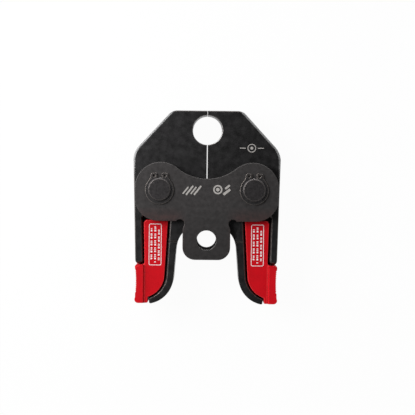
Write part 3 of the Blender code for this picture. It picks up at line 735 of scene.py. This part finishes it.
class PRESSJAW_OT_labels(bpy.types.Operator):
    """Prints a label on each grip: a line round three rows of dashes"""

    bl_idname = "press_jaw.labels"
    bl_label = "Labels"

    def execute(self, context):
        sizes = context.scene.press_jaw_sizes
        finish = printing_ink(context.scene.press_jaw_colours.ink)
        for side_name, side in SIDES:
            level = pad_level(side_name) + sizes.ink_height
            shape = bmesh.new()
            centre = (side * sizes.label_x, -sizes.label_drop)
            border = (sizes.label_width, sizes.label_length, sizes.label_corner, sizes.label_stroke)
            add_border(shape, centre, *border, level)
            for row in ROW_SPANS:
                row_x = centre[0] + row * sizes.label_width * ROW_SPACING
                add_dashes(shape, sizes, (row_x, centre[1]), row, level)
            thicken(shape, sizes.ink_height + sizes.sunk)
            add_piece(f"{side_name}_label", shape, finish, f"{side_name}_arm")
        return {"FINISHED"}


def pad_level(side_name):
    """Returns the level of the flat pad of a grip: its largest upward face that nothing covers."""
    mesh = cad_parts[f"{side_name}_grip"].data
    low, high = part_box(f"{side_name}_grip")
    areas = {}
    for face in mesh.polygons:
        if face.normal.z > FLAT_RISE and face.center.z > (low[2] + high[2]) / 2:
            level = round(face.center.z, 6)
            areas[level] = areas.get(level, 0.0) + face.area
    return max(areas, key=areas.get)


def add_dashes(shape, sizes, centre, row, level):
    """Adds a row of dashes along Y, the middle row longer than the other two."""
    span = sizes.label_length * ROW_SPANS[row]
    y = centre[1] + span / 2
    index = 3 * (row + 1)
    while y > centre[1] - span / 2:
        dash = min(DASHES[index % len(DASHES)] * MILLIMETRE, y - centre[1] + span / 2)
        if dash > sizes.dash_gap:
            middle = (centre[0], y - dash / 2)
            add_flat(shape, rounded_box(middle, sizes.dash_width, dash, dash * DASH_CORNER, 2), level)
        y -= dash + sizes.dash_gap
        index += 1


class PRESSJAW_OT_marks(bpy.types.Operator):
    """Etches plain marks into the front plate and the right arm"""

    bl_idname = "press_jaw.marks"
    bl_label = "Marks"

    def execute(self, context):
        sizes = context.scene.press_jaw_sizes
        finish = etched_steel(context.scene.press_jaw_colours.etch)
        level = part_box("front_side_plate")[1][2] + sizes.etch_height
        shape = bmesh.new()
        for x, y, long, wide, angle in BARS:
            size = Vector((long, wide)) * MILLIMETRE
            bar = rounded_box((0, 0), *size, size.y * BAR_CORNER, 2)
            turn = Matrix.Rotation(math.radians(angle), 2)
            middle = Vector((x, y)) * MILLIMETRE
            add_flat(shape, [turn @ Vector(point) + middle for point in bar], level)
        add_ring(shape, *PLATE_RING, level)
        thicken(shape, sizes.etch_height + sizes.sunk)
        add_piece("plate_marks", shape, finish, "frame")
        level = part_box("right_jaw_arm")[1][2] + sizes.etch_height
        shape = bmesh.new()
        add_ring(shape, *ARM_RING, level)
        x, y = ARM_RING[0]
        away, *dash = ARM_DASH
        for side in (-1, 1):
            add_flat(shape, rounded_box((x + side * away, y), *dash), level)
        thicken(shape, sizes.etch_height + sizes.sunk)
        add_piece("arm_mark", shape, finish, "right_arm")
        return {"FINISHED"}


def add_ring(shape, centre, width, dot, stroke, level):
    """Adds a flat ring, a stroke wide, with a dot in its middle."""
    add_border(shape, centre, width, width, width / 2 - ROUND_MARGIN, stroke, level, 8)
    add_flat(shape, rounded_box(centre, dot, dot, dot / 2 - ROUND_MARGIN), level)


class PRESSJAW_OT_spring(bpy.types.Operator):
    """Winds the closing spring and cuts it into halves at the centre plane, which sit in the two arms"""

    bl_idname = "press_jaw.spring"
    bl_label = "Closing spring"

    def execute(self, context):
        sizes = context.scene.press_jaw_sizes
        finish = spring_wire(context.scene.press_jaw_colours.spring)
        low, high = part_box("closing_spring")
        wire = sizes.spring_wire / 2
        centre = [(low[axis] + high[axis]) / 2 for axis in range(3)]
        radius = (high[2] - low[2]) / 2 - wire
        shape = bmesh.new()
        place = Matrix.Translation((low[0] + wire, centre[1] + radius, centre[2]))
        circle = bmesh.ops.create_circle(shape, segments=12, radius=wire, cap_ends=True, matrix=place)
        ring = circle["verts"]
        end = list({part for vert in ring for part in (vert, *vert.link_edges, *vert.link_faces)})
        middle_length = high[0] - low[0] - 2 * wire - 2 * sizes.spring_end_pitch
        end_turn = (1, sizes.spring_end_pitch)
        for turns, advance in (end_turn, (sizes.spring_turns - 2, middle_length), end_turn):
            end = wind(shape, end, centre, 2 * math.pi * turns, advance)
        for side_name, side in SIDES:
            name = f"{side_name}_closing_coil"
            piece = add_piece(name, half_of(shape, side), finish, None, "closing_spring")
            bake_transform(piece)
        shape.free()
        return {"FINISHED"}


def half_of(shape, side):
    """Returns the closed half of a mesh on one side of the centre plane."""
    half = shape.copy()
    parts = half.verts[:] + half.edges[:] + half.faces[:]
    plane = {"plane_co": (0, 0, 0), "plane_no": (-side, 0, 0)}
    cut = bmesh.ops.bisect_plane(half, geom=parts, dist=CUT_DISTANCE, clear_outer=True, **plane)["geom_cut"]
    bmesh.ops.holes_fill(half, edges=[part for part in cut if isinstance(part, bmesh.types.BMEdge)])
    bmesh.ops.recalc_face_normals(half, faces=half.faces)
    return half


class PRESSJAW_OT_stage(bpy.types.Operator):
    """Sets up the floor, the surroundings, the lamps and the camera"""

    bl_idname = "press_jaw.stage"
    bl_label = "Stage"

    def execute(self, context):
        stage = context.scene.press_jaw_stage
        add_floor(stage)
        add_surroundings(context.scene, stage)
        add_lamp("key_lamp", KEY_PLACE, KEY_TARGET, stage.softbox, stage.key_power)
        add_camera(context.scene, stage)
        context.scene.view_settings.view_transform = "Standard"
        return {"FINISHED"}


def add_floor(stage):
    """Adds the pale floor, which looks white to the camera and keeps part of the jaw's shadow."""
    shape = bmesh.new()
    bmesh.ops.create_grid(shape, x_segments=1, y_segments=1, size=FLOOR_REACH)
    bmesh.ops.translate(shape, verts=shape.verts, vec=(0, 0, -FLOOR_DROP))
    mesh = bpy.data.meshes.new("pale_floor")
    shape.to_mesh(mesh)
    shape.free()
    finish = Finish("pale_floor")
    grain = finish.spread(finish.noise(40.0, 3.0, 0.5), 0.0, 1.0)
    finish.shade(
        Base_Color=finish.mixed(grain, (0.86, 0.86, 0.86, 1.0), (0.89, 0.89, 0.89, 1.0)),
        Roughness=0.9,
        Specular_IOR_Level=0.1,
    )
    white = finish.add("ShaderNodeEmission", {"Color": (1.0, 1.0, 1.0, 1.0), "Strength": 1.0})
    path = finish.add("ShaderNodeLightPath").outputs
    direct = finish.combined("MAXIMUM", path["Is Camera Ray"], path["Is Glossy Ray"])
    seen = finish.times(direct, 1.0 - stage.floor_shadow)
    mix = finish.add("ShaderNodeMixShader", {0: seen, 1: finish.shader.outputs[0], 2: white.outputs[0]})
    finish.give(finish.tree.nodes["Material Output"].inputs["Surface"], mix.outputs[0])
    mesh.materials.append(finish.material)
    floor = bpy.data.objects.new("pale_floor", mesh)
    bpy.context.scene.collection.objects.link(floor)


def add_surroundings(scene, stage):
    """Surrounds the scene with pale walls under a dark ceiling, which look white to the camera.

    A band of lamps round the table is brightest behind the jaw tips and to the left.
    """
    world = bpy.data.worlds.new("pale_surroundings")
    scene.world = world
    world.use_nodes = True
    nodes = Nodes(world.node_tree)
    direction = nodes.add("ShaderNodeTexCoord").outputs["Generated"]
    height = nodes.add("ShaderNodeSeparateXYZ", {0: direction}).outputs["Z"]
    dome = nodes.spread(height, stage.walls, stage.ceiling, *CEILING_RISE, "SMOOTHSTEP")
    band = nodes.spread(height, stage.horizon, 0.0, *HORIZON_RISE, "SMOOTHSTEP")
    facing = nodes.add("ShaderNodeVectorMath", {0: direction, 1: HORIZON_SIDE}, operation="DOT_PRODUCT")
    lamps = nodes.times(band, nodes.spread(facing.outputs["Value"], 0.0, 1.0, 0.0, 1.0))
    light = nodes.tree.nodes["Background"]
    nodes.give(light.inputs["Color"], (1.0, 1.0, 1.0, 1.0))
    nodes.give(light.inputs["Strength"], nodes.combined("ADD", dome, lamps))
    white = nodes.add("ShaderNodeBackground", {"Color": (1.0, 1.0, 1.0, 1.0), "Strength": 1.0})
    camera = nodes.add("ShaderNodeLightPath").outputs["Is Camera Ray"]
    mix = nodes.add("ShaderNodeMixShader", {0: camera, 1: light.outputs[0], 2: white.outputs[0]})
    nodes.give(nodes.tree.nodes["World Output"].inputs["Surface"], mix.outputs[0])


def aimed(place, target, roll=0.0):
    """Returns the matrix of a camera or lamp that looks at a target with +Y upwards, rolled by degrees."""
    back = (Vector(place) - Vector(target)).normalized()
    right = Vector((0, 1, 0)).cross(back).normalized()
    turn = Matrix((right, back.cross(right), back)).transposed().to_4x4()
    return Matrix.Translation(place) @ turn @ Matrix.Rotation(math.radians(roll), 4, "Z")


def add_lamp(name, place, target, size, watts):
    """Adds a square softbox that faces a target."""
    light = bpy.data.lights.new(name, "AREA")
    light.shape = "SQUARE"
    light.size = size
    light.energy = watts
    lamp = bpy.data.objects.new(name, light)
    lamp.matrix_world = aimed(place, target)
    bpy.context.scene.collection.objects.link(lamp)


def add_camera(scene, stage):
    """Adds the camera above the jaw, as in the photograph."""
    camera = bpy.data.objects.new("camera", bpy.data.cameras.new("camera"))
    camera.data.sensor_width = SENSOR_WIDTH
    camera.data.lens = stage.lens
    camera.data.clip_start, camera.data.clip_end = CLIP_RANGE
    camera.matrix_world = aimed((*CAMERA_XY, stage.camera_height), CAMERA_TARGET, CAMERA_ROLL)
    scene.collection.objects.link(camera)
    scene.camera = camera


class PRESSJAW_PT_panel(bpy.types.Panel):
    """Lists the operators and the properties"""

    bl_idname = "PRESSJAW_PT_panel"
    bl_label = "Press jaw"
    bl_space_type = "VIEW_3D"
    bl_region_type = "UI"
    bl_category = "Press jaw"

    def draw(self, context):
        for operator in OPERATORS:
            self.layout.operator(operator.bl_idname)
        for name, group in GROUPS:
            for key in group.__annotations__:
                self.layout.prop(getattr(context.scene, name), key)


GROUPS = (
    ("press_jaw_sizes", JawSizes),
    ("press_jaw_colours", JawColours),
    ("press_jaw_stage", JawStage),
)
OPERATORS = (
    PRESSJAW_OT_arms,
    PRESSJAW_OT_plates,
    PRESSJAW_OT_pins,
    PRESSJAW_OT_rings,
    PRESSJAW_OT_grips,
    PRESSJAW_OT_labels,
    PRESSJAW_OT_marks,
    PRESSJAW_OT_spring,
    PRESSJAW_OT_stage,
)


def register():
    """Registers the classes and puts the property groups on the scene."""
    for name, group in GROUPS:
        bpy.utils.register_class(group)
        setattr(bpy.types.Scene, name, PointerProperty(type=group))
    for operator in OPERATORS:
        bpy.utils.register_class(operator)
    bpy.utils.register_class(PRESSJAW_PT_panel)


def unregister():
    """Takes back what register does."""
    bpy.utils.unregister_class(PRESSJAW_PT_panel)
    for operator in reversed(OPERATORS):
        bpy.utils.unregister_class(operator)
    for name, group in reversed(GROUPS):
        delattr(bpy.types.Scene, name)
        bpy.utils.unregister_class(group)


def main():
    """Makes the whole jaw and its stage."""
    register()
    bpy.ops.press_jaw.arms()
    bpy.ops.press_jaw.plates()
    bpy.ops.press_jaw.pins()
    bpy.ops.press_jaw.rings()
    bpy.ops.press_jaw.grips()
    bpy.ops.press_jaw.labels()
    bpy.ops.press_jaw.marks()
    bpy.ops.press_jaw.spring()
    bpy.ops.press_jaw.stage()
    bpy.context.view_layer.update()


if __name__ == "__main__":
    main()
